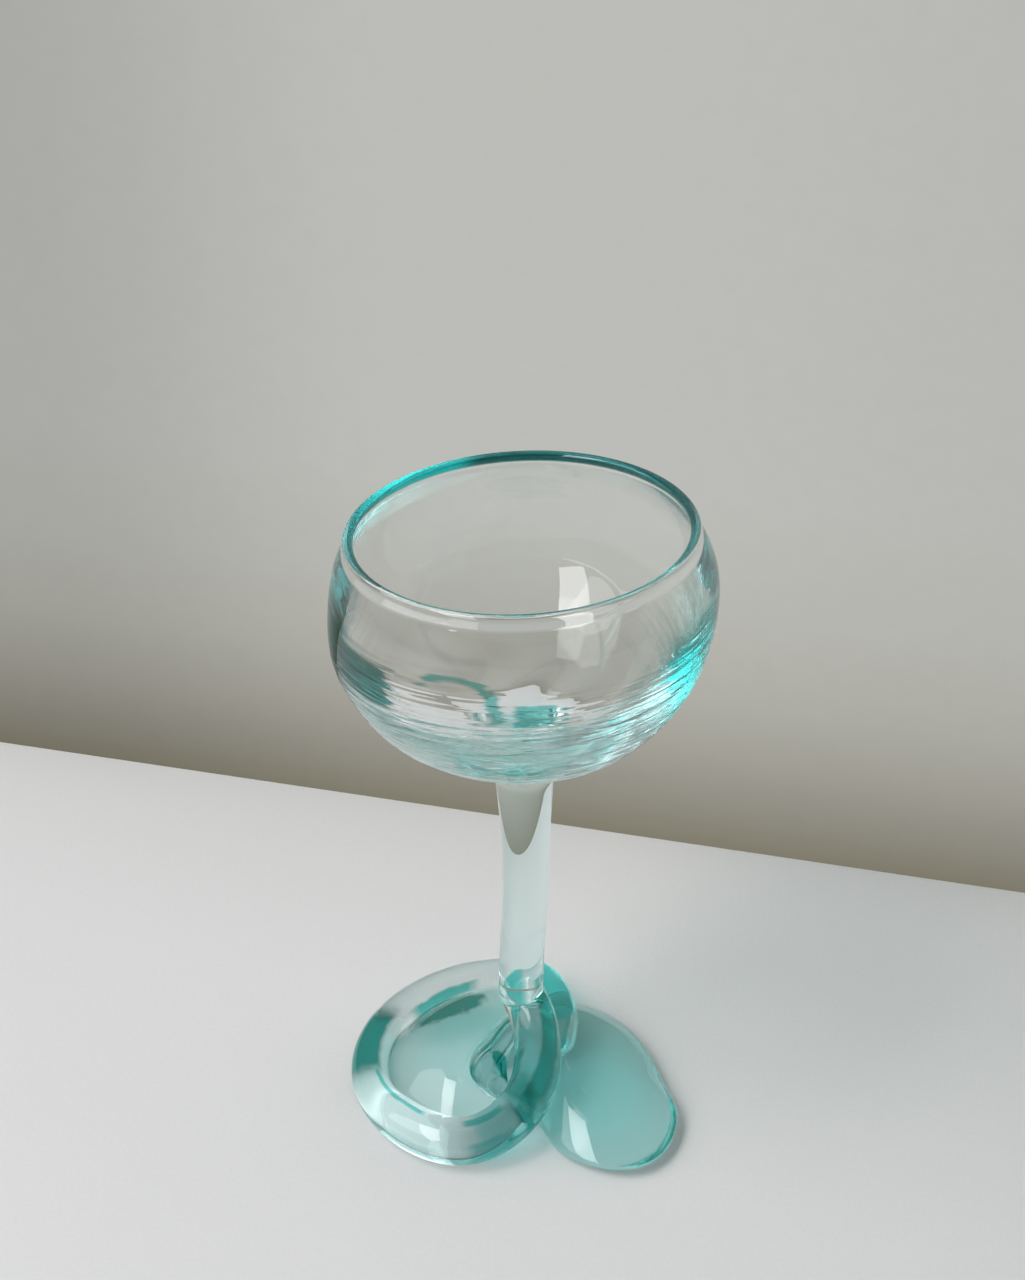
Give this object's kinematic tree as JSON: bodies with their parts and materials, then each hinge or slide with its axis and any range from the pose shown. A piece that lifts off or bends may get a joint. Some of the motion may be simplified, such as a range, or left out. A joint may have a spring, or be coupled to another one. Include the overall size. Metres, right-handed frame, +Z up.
{
  "type": "coupe glass",
  "caption": "Hand-blown stemmed coupe glass in pale aqua glass: a round bowl drawn in at the rim, a solid stem, and a foot made of a curled rod with a domed disc and a domed lobe.",
  "frame": {"origin": "on the table, under the stem, on the underside of the foot's lobe", "axes": "+Z up along the stem to the bowl, -Y toward the front where the foot's ring comes round, +X toward the lobe"},
  "size_m": [0.0948, 0.095, 0.167],
  "materials": {
    "bowl_glass": "clear, fire-polished, very pale aqua",
    "stem_glass": "clear, fire-polished, very pale aqua",
    "loop_glass": "clear, fire-polished, aqua",
    "disc_glass": "clear top, ground underside, aqua",
    "lobe_glass": "clear top, ground underside, aqua"
  },
  "bodies": {
    "root": {"bowl": "bowl_glass", "stem": "stem_glass", "foot_loop": "loop_glass", "foot_disc": "disc_glass", "foot_lobe": "lobe_glass"}
  },
  "joints": []
}
